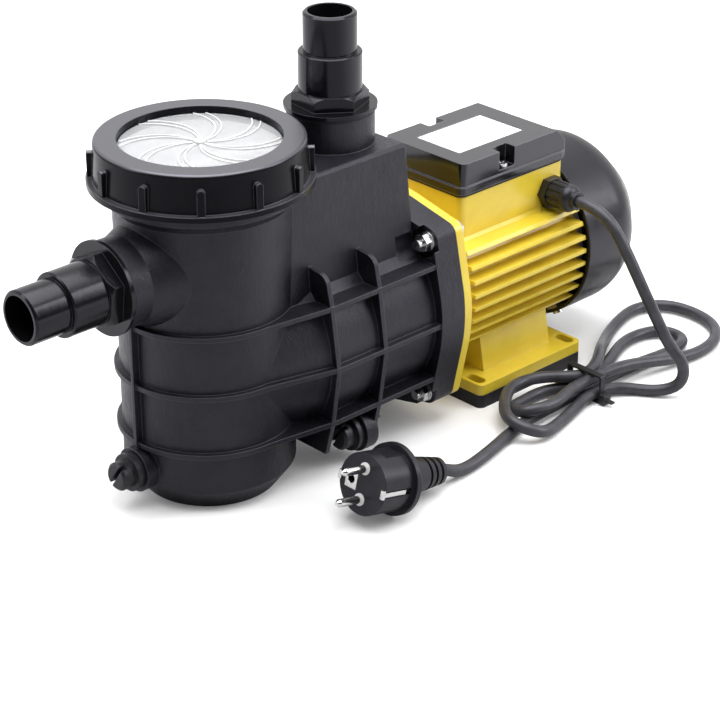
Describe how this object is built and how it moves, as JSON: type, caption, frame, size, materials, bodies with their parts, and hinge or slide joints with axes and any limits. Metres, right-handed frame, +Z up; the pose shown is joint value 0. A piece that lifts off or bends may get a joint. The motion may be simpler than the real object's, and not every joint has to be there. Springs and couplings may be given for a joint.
{
  "type": "pool pump",
  "caption": "Self-priming pool pump with a see-through strainer lid, hose tails on inlet and outlet, a finned motor on a slotted foot and a coiled mains lead.",
  "frame": {"origin": "on the floor, at the centre of the motor's four foot slots, under the shaft axis", "axes": "+X along the shaft from the strainer pot to the fan, +Y away from the cable gland's side, +Z up"},
  "size_m": [0.5086, 0.2063, 0.2663],
  "materials": {
    "casing_plastic": "satin glass-filled moulding",
    "ring_plastic": "satin",
    "window_clear": "clear moulded plastic",
    "rubber_seal": "matt",
    "basket_plastic": "satin",
    "gloss_fitting": "gloss",
    "drain_plastic": "satin",
    "inner_plastic": "satin",
    "steel": "ground",
    "seal_carbon": "matt",
    "seal_ceramic": "lapped",
    "brass_cage": "satin",
    "yellow_paint": "gloss enamel",
    "bare_aluminium": "cast",
    "pad_rubber": "matt",
    "core_steel": "laminated",
    "copper_winding": "enamelled copper",
    "gloss_cover": "high gloss",
    "zinc_steel": "zinc plated",
    "block_plastic": "satin",
    "capacitor_case": "satin",
    "label_white": "blank printed film",
    "gland_plastic": "satin",
    "cable_jacket": "matt",
    "tie_plastic": "satin",
    "plug_rubber": "matt",
    "nickel": "polished"
  },
  "bodies": {
    "pump": {"pump_body": "casing_plastic", "diffuser": "inner_plastic", "seal_plate": "inner_plastic", "seal_seat": "seal_ceramic", "body_gasket": "rubber_seal", "front_bearing_outer_ring": "steel", "rear_bearing_outer_ring": "steel", "wave_washer": "steel", "motor_front_shield": "yellow_paint", "motor_housing": "yellow_paint", "motor_rear_shield": "bare_aluminium", "foot_pad": "pad_rubber", "stator_core": "core_steel", "stator_windings": "copper_winding", "motor_tie_rods": "steel", "fan_cover": "gloss_cover", "fan_cover_screws": "zinc_steel", "terminal_gasket": "rubber_seal", "terminal_cover": "gloss_cover", "terminal_cover_screws": "zinc_steel", "terminal_block": "block_plastic", "run_capacitor": "capacitor_case", "rating_label": "label_white", "cable_gland": "gland_plastic", "gland_nut": "gland_plastic", "power_cable": "cable_jacket", "cable_tie": "tie_plastic", "plug_body": "plug_rubber", "plug_pins": "nickel", "plug_earth_clips": "nickel", "flange_bolts": "zinc_steel", "flange_washers": "zinc_steel", "flange_nuts": "zinc_steel"},
    "rotor": {"motor_shaft": "steel", "rotor_core": "core_steel", "impeller": "inner_plastic", "impeller_nut": "steel", "seal_head": "seal_carbon", "shaft_slinger": "rubber_seal", "front_bearing_inner_ring": "steel", "rear_bearing_inner_ring": "steel", "cooling_fan": "inner_plastic"},
    "ball_sets": {"bearing_balls": "steel", "bearing_cages": "brass_cage"},
    "lid_seal_lift": {"lid_seal": "rubber_seal"},
    "window_lift": {"lid_window": "window_clear"},
    "ring_screw": {"lid_ring": "ring_plastic"},
    "basket": {"strainer_basket": "basket_plastic"},
    "inlet_seal_slide": {"inlet_adapter_seal": "rubber_seal"},
    "inlet_hose_tail": {"inlet_adapter": "gloss_fitting"},
    "outlet_seal_slide": {"outlet_adapter_seal": "rubber_seal"},
    "outlet_hose_tail": {"outlet_adapter": "gloss_fitting"},
    "pot_drain_seal_slide": {"pot_drain_seal": "rubber_seal"},
    "pot_drain": {"pot_drain_plug": "drain_plastic"},
    "side_drain_seal_slide": {"side_drain_seal": "rubber_seal"},
    "side_drain": {"side_drain_plug": "drain_plastic"}
  },
  "joints": [
    {"name": "rotor_spin", "type": "hinge", "parent": "pump", "child": "rotor", "pos_m": [0, 0, 0.077], "axis": [1, 0, 0], "continuous": true},
    {"name": "ball_set_spin", "type": "hinge", "parent": "pump", "child": "ball_sets", "pos_m": [0, 0, 0.077], "axis": [1, 0, 0], "continuous": true},
    {"name": "lid_lift_off", "type": "slide", "parent": "pump", "child": "lid_seal_lift", "axis": [0, 0, 1], "range_m": [0, 0.26]},
    {"name": "window_rise", "type": "slide", "parent": "lid_seal_lift", "child": "window_lift", "axis": [0, 0, 1], "range_m": [0, 0.012]},
    {"name": "ring_turn", "type": "hinge", "parent": "window_lift", "child": "ring_screw", "pos_m": [-0.222, 0, 0.2], "axis": [0, 0, 1], "range_deg": [0, 720]},
    {"name": "basket_lift", "type": "slide", "parent": "pump", "child": "basket", "axis": [0, 0, 1], "range_m": [0, 0.13]},
    {"name": "inlet_seal_shift", "type": "slide", "parent": "pump", "child": "inlet_seal_slide", "axis": [-1, 0, 0], "range_m": [0, 0.01385]},
    {"name": "inlet_tail_turn", "type": "hinge", "parent": "inlet_seal_slide", "child": "inlet_hose_tail", "pos_m": [-0.3, 0, 0.1454], "axis": [-1, 0, 0], "range_deg": [0, 2160]},
    {"name": "outlet_seal_shift", "type": "slide", "parent": "pump", "child": "outlet_seal_slide", "axis": [0, 0, 1], "range_m": [0, 0.01385]},
    {"name": "outlet_tail_turn", "type": "hinge", "parent": "outlet_seal_slide", "child": "outlet_hose_tail", "pos_m": [-0.1223, 0, 0.22], "axis": [0, 0, 1], "range_deg": [0, 2160]},
    {"name": "pot_drain_seal_shift", "type": "slide", "parent": "pump", "child": "pot_drain_seal_slide", "axis": [-1, 0, 0], "range_m": [0, 0.01]},
    {"name": "pot_drain_turn", "type": "hinge", "parent": "pot_drain_seal_slide", "child": "pot_drain", "pos_m": [-0.29, 0, 0.024], "axis": [-1, 0, 0], "range_deg": [0, 1800]},
    {"name": "side_drain_seal_shift", "type": "slide", "parent": "pump", "child": "side_drain_seal_slide", "axis": [-1, 0, 0], "range_m": [0, 0.008]},
    {"name": "side_drain_turn", "type": "hinge", "parent": "side_drain_seal_slide", "child": "side_drain", "pos_m": [-0.16, -0.0466, 0.0194], "axis": [-1, 0, 0], "range_deg": [0, 1440]}
  ],
  "couplings": [
    {"joint": "ball_set_spin", "follows": "rotor_spin", "ratio": 0.38},
    {"joint": "window_rise", "follows": "ring_turn", "m_per_rad": 0.00095493},
    {"joint": "basket_lift", "follows": "lid_lift_off", "ratio": 0.5},
    {"joint": "inlet_seal_shift", "follows": "inlet_tail_turn", "m_per_rad": 0.00036749},
    {"joint": "outlet_seal_shift", "follows": "outlet_tail_turn", "m_per_rad": 0.00036749},
    {"joint": "pot_drain_seal_shift", "follows": "pot_drain_turn", "m_per_rad": 0.00031831},
    {"joint": "side_drain_seal_shift", "follows": "side_drain_turn", "m_per_rad": 0.00031831}
  ]
}
